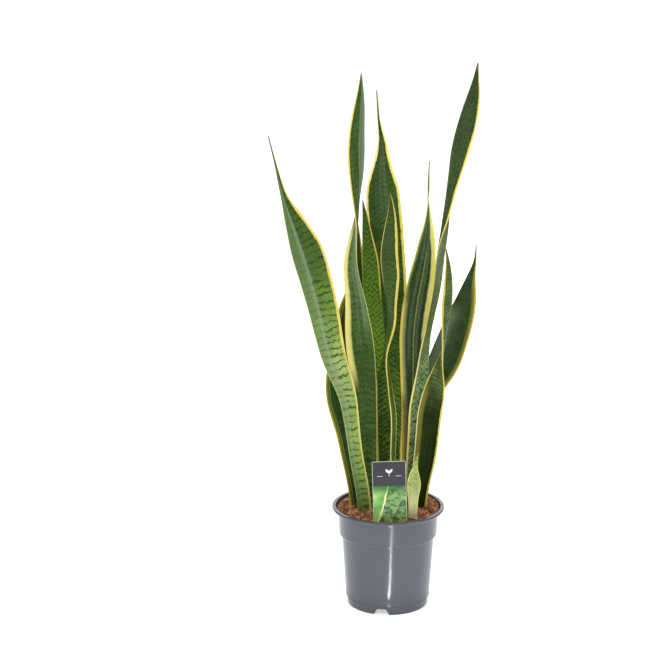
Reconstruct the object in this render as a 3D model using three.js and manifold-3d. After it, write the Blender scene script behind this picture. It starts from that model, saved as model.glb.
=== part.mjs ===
// A potted snake plant: twin-walled leaves growing from a rhizome in a
// moulded nursery pot of coir compost, with a plain picture tag.
// Millimetres, +Z up. The origin is the middle of the pot's foot, on the
// surface that the pot stands on. The plant's front faces -Y.

import * as THREE from "three";
import { mergeVertices } from "three/addons/utils/BufferGeometryUtils.js";
import Module from "manifold-3d";

const wasm = await Module();
wasm.setup();

// ---------------------------------------------------------------- dimensions

const GAP = 0.5; // clearance kept between neighbouring pieces
const POCKET = { gap: 1.05, depth: 3, margin: 2.25 }; // round, below and beside a leaf's foot

const POT = {
  rimRadius: 85,
  height: 155,
  wall: 1.6,
  lipWidth: 6,
  lipDepth: 5,
  flareDepth: 5,
  collarTopRadius: 76,
  collarBottomRadius: 74.5,
  ledgeHeight: 110.5,
  bodyTopRadius: 70.2,
  bodyBottomRadius: 64,
  bandRadius: 61.8,
  bandHeight: 14,
  bandTaper: 0.4,
  footWidth: 2,
  footChamfer: 0.6,
  floorUnder: 10.5,
  floorTop: 12.5,
  padRadius: 13,
  collarRound: 3, // the collar's bottom edge
  lipRound: 2.2, // the lip's outer edge
  lipUnderRound: 2,
  lipInnerRound: 1.2,
  segments: 42,
};
const DRAIN = { count: 8, circle: 40, radius: 4.5, sides: 16 };
const NOTCH = { count: 3, firstAngle: -100, foot: 25, top: 12, height: 9.5, depth: 8 };

const SOIL = {
  level: 149.5,
  tiltRight: 1.2, // rise of the surface from the middle to the wall
  tiltBack: 1.5,
  bump: 0.8, // height of the unevenness
  rings: 6,
};

const RHIZOME = { top: 117, sides: 10, stepsPerLimb: 9 };
const LIMBS = [
  { radius: 9, path: [[-43, 12], [-30, 0], [-12, 2], [6, -4], [24, 7], [46, 3]] },
  { radius: 7, path: [[-16, 2], [-16, 22], [4, 35]] },
  { radius: 7, path: [[27, 7], [31, 23], [48, 34]] },
  { radius: 5, path: [[44, 2], [43, -22], [34, -46]] },
];

const LEAF = {
  ringSpacing: 24,
  tipThickness: 1.2,
  bladeThickness: 3.2,
  fullWidth: 30, // blades this wide or wider have the full thickness
  channelMiddle: 0.45, // share of the channel's depth behind the centre line
  marginThinning: 0.3, // share of the thickness lost towards the margins
  stances: [-1, -0.55, 0, 0.55, 1, 0.55, 0, -0.55], // a ring's points across the blade
  faces: [0, 1, 1, 1, 0, -1, -1, -1], // and which face each lies on
};

// Each leaf is a list of stations from its foot to its tip:
// height, x, y, width, turn of the blade about the vertical in degrees
// (0 faces -Y, 90 faces +X) and channel depth as a share of the width.
const LEAVES = {
  leaf_far_left: [
    [119, -33, -12, 20, 14, 0.22], [170, -38, -18, 21, 14, 0.22], [251, -51, -28, 21, 14, 0.2],
    [332, -62, -37, 26, 14, 0.18], [403, -84, -46, 37, 14, 0.16], [485, -101, -59, 45, 14, 0.14],
    [555, -119, -70, 48, 14, 0.12], [609, -139, -78, 30, 14, 0.1], [651, -155, -85, 10, 14, 0.1],
    [700, -167, -93, 3, 14, 0.1], [739, -176, -100, 1.6, 14, 0.1],
  ],
  leaf_low_left: [
    [119, -43, 12, 23, 15, 0.22], [170, -47, 14, 28, 15, 0.2], [259, -60, 19, 39, 15, 0.16],
    [334, -72, 25, 50, 15, 0.14], [398, -66, 37, 43, 15, 0.12], [448, -57, 47, 39, 15, 0.12],
    [477, -51, 50, 31, 15, 0.12], [546, -50, 56, 18, 15, 0.1], [596, -50, 60, 1.6, 15, 0.1],
  ],
  leaf_tall_left: [
    [119, -26, 3, 18, 0, 0.2], [170, -29, 4, 23, 0, 0.18], [250, -31, 4, 28, 0, 0.15],
    [340, -36, 3, 35, 0, 0.12], [400, -43, 2, 42, -5, 0.1], [470, -49, 0, 41, -41, 0.1],
    [530, -56, -2, 40, -61, 0.1], [603, -50, -6, 34, -92, 0.12], [650, -49, -8, 32, -122, 0.1],
    [700, -50, -9, 29, -145, 0.1], [745, -48, -11, 23, -150, 0.1], [784, -45, -13, 11, -155, 0.1],
    [814, -44, -15, 1.6, -155, 0.1],
  ],
  leaf_mid_left: [
    [119, -20, 27, 19, 15, 0.2], [170, -26, 30, 22, 15, 0.18], [249, -34, 35, 28, 15, 0.14],
    [338, -35, 42, 33, 15, 0.12], [370, -26, 41, 33, 15, 0.1], [397, -23, 42, 35, 15, 0.1],
    [476, -26, 46, 29, 15, 0.1], [517, -28, 50, 26, 15, 0.1], [560, -33, 54, 16, 15, 0.1],
    [594, -37, 56, 7, 15, 0.1], [614, -40, 59, 1.6, 15, 0.1],
  ],
  leaf_tall_back: [
    [119, 2, 38, 26, -10, 0.2], [170, 3, 40, 35, -10, 0.18], [249, 3, 46, 43, -10, 0.14],
    [338, 3, 53, 47, -10, 0.12], [476, 1, 67, 54, -10, 0.1], [583, -6, 80, 54, -10, 0.1],
    [620, -9, 84, 51, -10, 0.1], [651, -10, 88, 35, -10, 0.1], [686, -10, 93, 17, -10, 0.1],
    [723, -15, 98, 5, -10, 0.1], [772, -19, 105, 1.6, -10, 0.1],
  ],
  leaf_front_twisted: [
    [119, 5, -8, 20, 72, 0.08], [180, 5, -10, 24, 72, 0.08], [286, 6, -16, 26, 71, 0.06],
    [355, -1, -20, 26, 78, 0.06], [396, -6, -23, 26, 92, 0.06], [428, -2, -25, 28, 107, 0.08],
    [456, 1, -27, 29, 116, 0.1], [482, 0, -29, 29, 124, 0.1], [526, -1, -32, 29, 152, 0.1],
    [553, -3, -34, 27, 156, 0.1], [589, -1, -37, 20, 160, 0.1], [619, 0, -39, 10, 160, 0.1],
    [644, -2, -40, 1.6, 160, 0.1],
  ],
  leaf_mid_right: [
    [119, 28, 24, 17, -15, 0.2], [170, 32, 26, 21, -15, 0.2], [230, 34, 28, 25, -15, 0.18],
    [309, 36, 30, 33, -15, 0.15], [399, 36, 33, 39, -15, 0.12], [458, 41, 34, 41, -15, 0.1],
    [503, 49, 34, 38, -15, 0.1], [545, 55, 35, 28, -15, 0.1], [585, 57, 35, 16, 35, 0.1],
    [610, 57, 36, 13, 73, 0.1], [638, 57, 36, 8, 105, 0.1], [678, 58, 37, 1.6, 115, 0.1],
  ],
  leaf_tall_right: [
    [119, 31, 9, 20, 20, 0.2], [170, 34, 8, 24, 20, 0.18], [240, 39, 5, 28, 25, 0.15],
    [311, 43, 0, 32, 30, 0.12], [351, 46, -4, 32, 45, 0.1], [393, 50, -8, 34, 62, 0.06],
    [442, 58, -13, 36, 68, 0.05], [497, 67, -16, 37, 69, 0.05], [553, 73, -17, 38, 67, 0.08],
    [609, 81, -19, 37, 84, 0.22], [649, 86, -20, 35, 106, 0.18], [705, 98, -21, 31, 140, 0.12],
    [743, 108, -22, 29, 152, 0.1], [778, 116, -23, 21, 154, 0.1], [808, 120, -24, 9, 155, 0.1],
    [831, 122, -25, 1.6, 155, 0.1],
  ],
  leaf_leaning_right: [
    [119, 48, 36, 20, -20, 0.2], [170, 50, 38, 24, -20, 0.18], [259, 56, 45, 33, -20, 0.15],
    [323, 66, 50, 41, -23, 0.13], [367, 87, 56, 51, -23, 0.12], [416, 105, 63, 46, -23, 0.12],
    [457, 118, 69, 33, -23, 0.1], [495, 126, 74, 13, -23, 0.1], [519, 131, 78, 4, -23, 0.1],
    [542, 132, 80, 1.8, -23, 0.1],
  ],
  leaf_right_twisted: [
    [119, 45, -2, 20, 10, 0.2], [173, 47, -3, 26, 6, 0.18], [241, 55, -9, 34, 0, 0.15],
    [307, 61, -17, 36, -8, 0.12], [348, 69, -24, 34, -38, 0.1], [375, 73, -27, 32, -66, 0.08],
    [401, 77, -29, 30, -90, 0.06], [437, 81, -32, 27, -112, 0.08], [473, 83, -36, 25, -132, 0.1],
    [504, 84, -40, 19, -140, 0.1], [533, 83, -45, 11, -145, 0.1], [565, 79, -50, 1.6, -145, 0.1],
  ],
  leaf_young: [
    [119, 34, -46, 13, -20, 0.25], [160, 36, -50, 14, -20, 0.25], [191, 36, -55, 18, -20, 0.25],
    [209, 37, -59, 21, -20, 0.22], [228, 37, -63, 13, -20, 0.2], [244, 39, -66, 4, -20, 0.1],
    [261, 42, -68, 1.6, -20, 0.1],
  ],
};

const TAG = {
  width: 50,
  top: 245,
  bottom: 138,
  stakeWidth: 16,
  stakeEnd: 98,
  pointLength: 12,
  shoulder: 6,
  thickness: 0.9,
  corner: 2,
  y: -63,
  x: 2,
  lean: 2,
};

const COLOURS = {
  pot: 0x5b616b,
  soil: 0x6d4127,
  rhizome: 0xc79a52,
  leaf: 0x55803a,
  youngLeaf: 0x9fae5c,
  tag: 0x4a7a3a,
};

// ------------------------------------------------------------------- helpers

const radians = THREE.MathUtils.degToRad;
const clamp01 = (value) => Math.min(1, Math.max(0, value));

// A closed geometry as a manifold solid, with its faces pointing out.
function solidFrom(geometry) {
  const bare = geometry.clone();
  bare.deleteAttribute("normal");
  bare.deleteAttribute("uv");
  const merged = mergeVertices(bare, 1e-4);
  const vertProperties = new Float32Array(merged.attributes.position.array);
  const triVerts = new Uint32Array(merged.index.array);
  const solid = new wasm.Manifold(new wasm.Mesh({ numProp: 3, vertProperties, triVerts }));
  if (solid.volume() > 0) return solid;
  for (let i = 0; i < triVerts.length; i += 3) {
    [triVerts[i + 1], triVerts[i + 2]] = [triVerts[i + 2], triVerts[i + 1]];
  }
  return new wasm.Manifold(new wasm.Mesh({ numProp: 3, vertProperties, triVerts }));
}

// A manifold solid as a named mesh.
function meshFrom(name, solid, colour, roughness) {
  const { vertProperties, triVerts } = solid.getMesh();
  const geometry = new THREE.BufferGeometry();
  geometry.setAttribute("position", new THREE.BufferAttribute(new Float32Array(vertProperties), 3));
  geometry.setIndex(new THREE.BufferAttribute(new Uint32Array(triVerts), 1));
  geometry.computeVertexNormals();
  const material = new THREE.MeshStandardMaterial({ color: colour, roughness, metalness: 0 });
  const mesh = new THREE.Mesh(geometry, material);
  mesh.name = name;
  return mesh;
}

// A solid of revolution about +Z from [radius, height] points.
function turned(points, segments) {
  const profile = points.map(([radius, height]) => new THREE.Vector2(radius, height));
  return solidFrom(new THREE.LatheGeometry(profile, segments).rotateX(Math.PI / 2));
}

// Points of an arc of [radius, height], from one angle to another in degrees.
function arc(radius, height, size, from, to, steps) {
  return Array.from({ length: steps + 1 }, (_, i) => {
    const angle = radians(from + ((to - from) * i) / steps);
    return [radius + size * Math.cos(angle), height + size * Math.sin(angle)];
  });
}

// A smooth curve through one column of the stations that never overshoots:
// a cubic whose slope at each station is the harmonic mean of its neighbours'.
function smoothColumn(stations, column) {
  const heights = stations.map((station) => station[0]);
  const values = stations.map((station) => station[column]);
  const last = heights.length - 1;
  const rise = values.slice(1).map((v, i) => (v - values[i]) / (heights[i + 1] - heights[i]));
  const slopes = values.map((_, i) => {
    if (i === 0) return rise[0];
    if (i === last) return rise[last - 1];
    const [before, after] = [rise[i - 1], rise[i]];
    return before * after <= 0 ? 0 : (2 * before * after) / (before + after);
  });
  return (height) => {
    let i = 0;
    while (i < last - 1 && height > heights[i + 1]) i += 1;
    const span = heights[i + 1] - heights[i];
    const t = (height - heights[i]) / span;
    const [t2, t3] = [t * t, t * t * t];
    return (
      (2 * t3 - 3 * t2 + 1) * values[i] +
      (t3 - 2 * t2 + t) * span * slopes[i] +
      (3 * t2 - 2 * t3) * values[i + 1] +
      (t3 - t2) * span * slopes[i + 1]
    );
  };
}

// ----------------------------------------------------------------------- pot

// A thin-walled tapered pot with a deep collar, a rolled lip and a raised
// floor that stands on its outer ring and a middle pad.
function makePot() {
  const innerLip = POT.rimRadius - POT.lipWidth;
  const lipBottom = POT.height - POT.lipDepth;
  const flareBottom = lipBottom - POT.flareDepth;
  const footOuter = POT.bandRadius - POT.footChamfer;
  const footInner = footOuter - POT.footWidth;
  const { collarRound, lipRound, lipUnderRound, lipInnerRound } = POT;
  const outside = [
    [POT.padRadius, 0],
    [POT.padRadius + 1, POT.floorUnder],
    [footInner - POT.bandTaper, POT.floorUnder],
    [footInner, 0],
    [footOuter, 0],
    [POT.bandRadius, POT.footChamfer],
    [POT.bandRadius + POT.bandTaper, POT.bandHeight - POT.footChamfer],
    [POT.bodyBottomRadius, POT.bandHeight + POT.footChamfer],
    [POT.bodyTopRadius, POT.ledgeHeight - 1.5],
    [POT.bodyTopRadius + 0.8, POT.ledgeHeight],
    ...arc(POT.collarBottomRadius - collarRound, POT.ledgeHeight + collarRound, collarRound, -80, 0, 3),
    [POT.collarTopRadius, flareBottom],
    [POT.collarTopRadius + 3, lipBottom - 1.5],
    ...arc(POT.rimRadius - lipUnderRound, lipBottom + lipUnderRound, lipUnderRound, -60, 0, 2),
    ...arc(POT.rimRadius - lipRound, POT.height - lipRound, lipRound, 20, 90, 3),
    ...arc(innerLip + lipInnerRound, POT.height - lipInnerRound, lipInnerRound, 90, 180, 2),
  ];
  const bandInner = POT.bandRadius - POT.wall - 1;
  const inside = [
    [innerLip - 0.6, lipBottom],
    [POT.collarTopRadius - POT.wall, flareBottom - 1],
    [POT.collarBottomRadius - POT.wall, POT.ledgeHeight + 4],
    [POT.bodyTopRadius - POT.wall + 0.6, POT.ledgeHeight - 1],
    [POT.bodyBottomRadius - POT.wall, POT.bandHeight + 2],
    [bandInner, POT.bandHeight - 1],
    [bandInner, POT.floorTop],
  ];
  let pot = turned([[0, 0], ...outside, ...inside, [0, POT.floorTop]], POT.segments);
  for (let i = 0; i < DRAIN.count; i += 1) {
    const angle = (2 * Math.PI * (i + 0.5)) / DRAIN.count;
    const length = 2 * POT.floorTop;
    const hole = new THREE.CylinderGeometry(DRAIN.radius, DRAIN.radius, length, DRAIN.sides);
    hole.rotateX(Math.PI / 2).translate(DRAIN.circle, 0, POT.floorTop).rotateZ(angle);
    pot = pot.subtract(solidFrom(hole));
  }
  const outline = new THREE.Shape([
    new THREE.Vector2(-NOTCH.foot / 2, -1),
    new THREE.Vector2(NOTCH.foot / 2, -1),
    new THREE.Vector2(NOTCH.top / 2, NOTCH.height),
    new THREE.Vector2(-NOTCH.top / 2, NOTCH.height),
  ]);
  for (let i = 0; i < NOTCH.count; i += 1) {
    const notch = new THREE.ExtrudeGeometry(outline, { depth: NOTCH.depth, bevelEnabled: false });
    notch.rotateX(Math.PI / 2).rotateZ(Math.PI / 2);
    notch.translate(footInner - 2, 0, 0);
    notch.rotateZ(radians(NOTCH.firstAngle + (360 / NOTCH.count) * i));
    pot = pot.subtract(solidFrom(notch));
  }
  return pot;
}

// -------------------------------------------------------------------- leaves

// A leaf blade: rings of eight points lofted along the stations, channelled
// along the middle, thickest at the midrib and sharp at both margins.
// grow widens it all round, which makes the pocket that it sits in.
function makeLeaf(stations, grow = 0, topHeight = Infinity) {
  const [x, y, width, turn, cup] = [1, 2, 3, 4, 5].map((column) => smoothColumn(stations, column));
  const foot = stations[0][0];
  const tip = stations[stations.length - 1][0];
  const point = (height) => new THREE.Vector3(x(height), y(height), height);
  const rings = Math.round((tip - foot) / LEAF.ringSpacing);
  const step = (tip - foot) / rings;
  const count = Math.min(rings, Math.ceil((topHeight - foot) / step));
  const positions = [];
  for (let i = 0; i <= count; i += 1) {
    const height = foot + step * i;
    const along = point(height + 1).sub(point(height - 1)).normalize();
    const angle = radians(turn(height));
    const across = new THREE.Vector3(Math.cos(angle), Math.sin(angle), 0);
    across.addScaledVector(along, -across.dot(along)).normalize();
    const front = new THREE.Vector3().crossVectors(across, along);
    const fullness = clamp01(width(height) / LEAF.fullWidth);
    const thickness = LEAF.tipThickness + (LEAF.bladeThickness - LEAF.tipThickness) * fullness;
    const centre = point(height);
    if (grow > 0 && i === 0) centre.addScaledVector(along, -POCKET.depth);
    const half = width(height) / 2;
    LEAF.stances.forEach((stance, k) => {
      const reach = stance * (1 + (grow > 0 ? POCKET.margin / half : 0));
      const thinning = 1 - LEAF.marginThinning * stance * stance;
      const bulge = LEAF.faces[k] * (thickness / 2 + grow) * thinning;
      const lift = cup(height) * width(height) * (reach * reach - LEAF.channelMiddle);
      const corner = centre.clone();
      corner.addScaledVector(across, reach * half).addScaledVector(front, lift + bulge);
      positions.push(corner.x, corner.y, corner.z);
    });
  }
  return loft(positions, LEAF.stances.length, count);
}

// Closes a stack of rings with side faces and a fan at each end.
function loft(positions, around, count) {
  const indices = [];
  for (let i = 0; i < count; i += 1) {
    for (let k = 0; k < around; k += 1) {
      const [a, b] = [i * around + k, i * around + ((k + 1) % around)];
      indices.push(a, b, b + around, a, b + around, a + around);
    }
  }
  for (const ring of [0, count]) {
    const centre = positions.length / 3;
    const mean = [0, 1, 2].map((axis) => {
      let total = 0;
      for (let k = 0; k < around; k += 1) total += positions[(ring * around + k) * 3 + axis];
      return total / around;
    });
    positions.push(...mean);
    for (let k = 0; k < around; k += 1) {
      const [a, b] = [ring * around + k, ring * around + ((k + 1) % around)];
      indices.push(...(ring === 0 ? [centre, b, a] : [centre, a, b]));
    }
  }
  const geometry = new THREE.BufferGeometry();
  geometry.setAttribute("position", new THREE.Float32BufferAttribute(positions, 3));
  geometry.setIndex(indices);
  return solidFrom(geometry);
}

// ------------------------------------------------------------------- rhizome

// The creeping stem that the leaves grow from, one piece with side limbs.
function makeRhizome(grow = 0) {
  const limbs = LIMBS.map(({ radius, path }) => {
    const points = path.map(([px, py]) => new THREE.Vector3(px, py, RHIZOME.top - radius));
    const section = new THREE.Shape(
      Array.from({ length: RHIZOME.sides }, (_, i) => {
        const angle = (2 * Math.PI * i) / RHIZOME.sides;
        return new THREE.Vector2(Math.cos(angle), Math.sin(angle)).multiplyScalar(radius + grow);
      }),
    );
    const [end, beforeEnd] = [points[points.length - 1], points[points.length - 2]];
    const startWay = points[0].clone().sub(points[1]).setLength(grow);
    const endWay = end.clone().sub(beforeEnd).setLength(grow);
    points[0].add(startWay);
    end.add(endWay);
    const extrudePath = new THREE.CatmullRomCurve3(points);
    return solidFrom(
      new THREE.ExtrudeGeometry(section, { steps: RHIZOME.stepsPerLimb, extrudePath, bevelEnabled: false }),
    );
  });
  return limbs.reduce((whole, limb) => whole.add(limb));
}

// ----------------------------------------------------------------------- tag

// A plain card on a pointed stake, pushed into the compost behind the rim.
function makeTag(grow = 0) {
  const half = TAG.width / 2 + grow;
  const stake = TAG.stakeWidth / 2 + grow;
  const [top, bottom] = [TAG.top + grow, TAG.bottom - grow];
  const outline = new THREE.Shape();
  outline.moveTo(-half, bottom + TAG.shoulder);
  outline.lineTo(-stake, bottom);
  outline.lineTo(-stake, TAG.stakeEnd + TAG.pointLength);
  outline.lineTo(0, TAG.stakeEnd - grow);
  outline.lineTo(stake, TAG.stakeEnd + TAG.pointLength);
  outline.lineTo(stake, bottom);
  outline.lineTo(half, bottom + TAG.shoulder);
  outline.absarc(half - TAG.corner, top - TAG.corner, TAG.corner, 0, Math.PI / 2, false);
  outline.absarc(TAG.corner - half, top - TAG.corner, TAG.corner, Math.PI / 2, Math.PI, false);
  const depth = TAG.thickness + 2 * grow;
  const card = new THREE.ExtrudeGeometry(outline, { depth, bevelEnabled: false, curveSegments: 4 });
  card.rotateX(Math.PI / 2).translate(0, depth / 2, -TAG.bottom);
  card.rotateY(radians(-TAG.lean)).translate(TAG.x, TAG.y, TAG.bottom);
  return solidFrom(card);
}

// ---------------------------------------------------------------------- soil

// Height of the compost: heaped a little to the right and the back, and uneven.
function soilHeight(px, py) {
  const reach = POT.collarTopRadius;
  const slope = (SOIL.tiltRight * px + SOIL.tiltBack * py) / reach;
  const uneven = Math.sin(px * 0.13 + 1) * Math.cos(py * 0.11) + 0.6 * Math.sin(px * 0.05 - py * 0.17);
  return SOIL.level + slope + SOIL.bump * uneven;
}

// The root ball: it fills the pot and has a pocket for everything planted in it.
function makeSoil(planted) {
  const inset = POT.wall + GAP;
  const flareBottom = POT.height - POT.lipDepth - POT.flareDepth;
  const topRadius = POT.rimRadius - POT.lipWidth - inset - 2 * GAP;
  const side = [
    [POT.bandRadius - inset - 1, POT.floorTop + GAP],
    [POT.bandRadius - inset - 1, POT.bandHeight],
    [POT.bodyTopRadius - inset, POT.ledgeHeight - 1],
    [POT.collarBottomRadius - inset, POT.ledgeHeight + 2 * POT.collarRound],
    [POT.collarTopRadius - inset - GAP, flareBottom - 2],
  ];
  const top = Array.from({ length: SOIL.rings }, (_, i) => {
    const share = 1 - i / SOIL.rings;
    return [topRadius * share, SOIL.level];
  });
  const points = [[0, POT.floorTop + GAP], ...side, ...top, [0, SOIL.level]];
  const profile = points.map(([radius, height]) => new THREE.Vector2(radius, height));
  const geometry = new THREE.LatheGeometry(profile, POT.segments).rotateX(Math.PI / 2);
  const position = geometry.attributes.position;
  for (let i = 0; i < position.count; i += 1) {
    if (position.getZ(i) > SOIL.level - 1) {
      position.setZ(i, soilHeight(position.getX(i), position.getY(i)));
    }
  }
  return planted.reduce((soil, piece) => soil.subtract(piece), solidFrom(geometry));
}

// ------------------------------------------------------------------ assembly

const plant = new THREE.Group();
const pockets = [makeRhizome(GAP), makeTag(GAP)];
plant.add(meshFrom("pot", makePot(), COLOURS.pot, 0.45));
plant.add(meshFrom("rhizome", makeRhizome(), COLOURS.rhizome, 0.7));
plant.add(meshFrom("plant_tag", makeTag(), COLOURS.tag, 0.35));
for (const [name, stations] of Object.entries(LEAVES)) {
  const colour = name === "leaf_young" ? COLOURS.youngLeaf : COLOURS.leaf;
  plant.add(meshFrom(name, makeLeaf(stations), colour, 0.4));
  pockets.push(makeLeaf(stations, POCKET.gap, SOIL.level + 20));
}
plant.add(meshFrom("soil", makeSoil(pockets), COLOURS.soil, 0.95));

export default plant;
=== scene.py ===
"""A potted snake plant: its looks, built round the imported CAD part.

Metres, +Z up, the plant's front at -Y. Every visible piece but the rhizome is a
finer mesh that stands for its CAD node; its place comes from that node.
"""

import math

import bmesh
import bpy
import numpy as np
from mathutils import Matrix, Vector, noise


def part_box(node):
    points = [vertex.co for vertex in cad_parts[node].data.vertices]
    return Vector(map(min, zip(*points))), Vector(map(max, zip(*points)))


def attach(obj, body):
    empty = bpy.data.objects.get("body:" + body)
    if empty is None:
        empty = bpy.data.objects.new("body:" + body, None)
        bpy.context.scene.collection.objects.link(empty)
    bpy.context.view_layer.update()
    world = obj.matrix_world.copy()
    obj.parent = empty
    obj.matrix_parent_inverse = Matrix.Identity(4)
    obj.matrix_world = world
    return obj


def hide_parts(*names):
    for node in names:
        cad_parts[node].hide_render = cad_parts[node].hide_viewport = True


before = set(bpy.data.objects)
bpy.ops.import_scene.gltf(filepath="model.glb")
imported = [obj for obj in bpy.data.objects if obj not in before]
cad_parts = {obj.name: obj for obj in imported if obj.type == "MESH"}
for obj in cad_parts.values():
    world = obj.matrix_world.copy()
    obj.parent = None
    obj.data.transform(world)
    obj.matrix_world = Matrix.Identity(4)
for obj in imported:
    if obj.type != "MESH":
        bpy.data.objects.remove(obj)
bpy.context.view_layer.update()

MM = 0.001
SEED = 7


# ---- helpers


def rgb(red, green, blue):
    """A display colour, 0 to 255, as the linear RGBA that Blender's sockets take."""

    def linear(value):
        value /= 255
        return value / 12.92 if value <= 0.04045 else ((value + 0.055) / 1.055) ** 2.4

    return (linear(red), linear(green), linear(blue), 1.0)


class Graph:
    """A material's node tree, with a short method for each kind of node."""

    def __init__(self, name):
        self.material = bpy.data.materials.new(name)
        self.material.use_nodes = True
        self.tree = self.material.node_tree
        self.tree.nodes.clear()
        self.shader = self.node("BsdfPrincipled")
        self.node("OutputMaterial", {"Surface": self.shader.outputs[0]})

    def node(self, kind, inputs=None, **settings):
        made = self.tree.nodes.new("ShaderNode" + kind)
        for key, value in settings.items():
            setattr(made, key, value)
        for key, value in (inputs or {}).items():
            self.put(made.inputs[key], value)
        return made

    def put(self, socket, value):
        """Links a socket, or sets its value; three numbers are a display colour."""
        if isinstance(value, tuple) and len(value) == 3:
            value = rgb(*value)
        if isinstance(value, bpy.types.NodeSocket):
            self.tree.links.new(value, socket)
        else:
            socket.default_value = value

    def math(self, operation, *values):
        made = self.node("Math", operation=operation)
        for socket, value in zip(made.inputs, values):
            self.put(socket, value)
        return made.outputs[0]

    def add(self, *values):
        total = values[0]
        for value in values[1:]:
            total = self.math("ADD", total, value)
        return total

    def scaled(self, value, factor):
        return self.math("MULTIPLY", value, factor)

    def minus(self, value, other):
        return self.math("SUBTRACT", value, other)

    def step(self, value, low, high):
        """0 below low, 1 above high, and smooth between."""
        inputs = {"Value": value, "From Min": low, "From Max": high}
        return self.node("MapRange", inputs, interpolation_type="SMOOTHSTEP").outputs[0]

    def window(self, value, low, high, soft):
        """1 between low and high, 0 outside, with edges soft to either side."""
        rise = self.step(value, low - soft, low + soft)
        return self.scaled(rise, self.minus(1.0, self.step(value, high - soft, high + soft)))

    def mix(self, share, under, over, blend="MIX"):
        made = self.node("Mix", data_type="RGBA", blend_type=blend)
        for index, value in ((0, share), (6, under), (7, over)):
            self.put(made.inputs[index], value)
        return made.outputs[2]

    def ramp(self, position, stops, low=0.0, high=1.0):
        """Colour and opacity from stops of (place, display colour, opacity) from low to high."""
        made = self.node("ValToRGB")
        place = self.math("DIVIDE", self.minus(position, low), high - low)
        self.put(made.inputs[0], place)
        elements = made.color_ramp.elements
        while len(elements) < len(stops):
            elements.new(0.5)
        for element, stop in zip(elements, sorted(stops, key=lambda item: item[0])):
            element.position = (stop[0] - low) / (high - low)
            opacity = stop[2] if len(stop) > 2 else 1.0
            element.color = (*rgb(*stop[1])[:3], opacity)
        return made.outputs[0], made.outputs[1]

    def vector(self, x, y, z):
        return self.node("CombineXYZ", {"X": x, "Y": y, "Z": z}).outputs[0]

    def noise(self, vector, scale=1.0, detail=2.0, roughness=0.5):
        inputs = {"Vector": vector, "Scale": scale, "Detail": detail, "Roughness": roughness}
        return self.node("TexNoise", inputs).outputs[0]

    def attribute(self, name):
        return self.node("Attribute", attribute_name=name)

    def split(self, vector):
        return self.node("SeparateXYZ", {"Vector": vector}).outputs

    def bump(self, height, distance, strength):
        made = self.node("Bump", {"Height": height, "Distance": distance, "Strength": strength})
        self.put(self.shader.inputs["Normal"], made.outputs[0])

    def finish(self, colour, roughness, **sockets):
        self.put(self.shader.inputs["Base Color"], colour)
        self.put(self.shader.inputs["Roughness"], roughness)
        for key, value in sockets.items():
            self.put(self.shader.inputs[key.replace("_", " ")], value)
        return self.material


def new_object(name, data):
    made = bpy.data.objects.new(name, data)
    bpy.context.scene.collection.objects.link(made)
    return made


def apply_modifiers(target):
    bpy.context.view_layer.update()
    graph = bpy.context.evaluated_depsgraph_get()
    made = bpy.data.meshes.new_from_object(target.evaluated_get(graph))
    target.modifiers.clear()
    target.data = made


def polar(radius, angle):
    return radius * math.cos(angle), radius * math.sin(angle)


def add_object(name, vertices, faces, material, stands_for=None, smooth=True):
    """A mesh piece that rides on the part's one body."""
    mesh = bpy.data.meshes.new(name)
    mesh.from_pydata([tuple(v) for v in vertices], [], [tuple(f) for f in faces])
    mesh.validate()
    mesh.polygons.foreach_set("use_smooth", [smooth] * len(mesh.polygons))
    mesh.materials.append(material)
    made = new_object(name, mesh)
    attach(made, "root")
    if stands_for:
        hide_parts(stands_for)
    return made


def set_values(made, name, values):
    """A point attribute, of numbers or of rows of three."""
    values = np.asarray(values, np.float32)
    kind, field = ("FLOAT", "value") if values.ndim == 1 else ("FLOAT_VECTOR", "vector")
    made.data.attributes.new(name, kind, "POINT").data.foreach_set(field, values.ravel())


def grid_faces(rows, around):
    """Quads between rows of points, each row a ring of that many points."""
    faces = []
    for i in range(rows - 1):
        for k in range(around):
            a, b = i * around + k, i * around + (k + 1) % around
            faces.append((a, b, b + around, a + around))
    return faces


def closed_faces(rows, around):
    """The same, with a fan to each of the two points that follow the rows: foot, then top."""
    faces = grid_faces(rows, around)
    foot, last = rows * around, (rows - 1) * around
    for k in range(around):
        following = (k + 1) % around
        faces.append((foot, following, k))
        faces.append((foot + 1, last + k, last + following))
    return faces


# ---- leaves

ROW_STEP = 2.4 * MM
COLUMNS = 22  # points across one face of a blade
TIP_ROUND = 1.5 * MM
MARGIN_THINNING = 0.45
WAVE_LENGTH = 55 * MM
STIFF_FOOT = 60 * MM  # the lowest part of a blade has no waves or creases
STIFF_FADE = 80 * MM  # and they grow over this length above it
STIFF_HALF = 14 * MM  # half width below which they shrink


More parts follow.
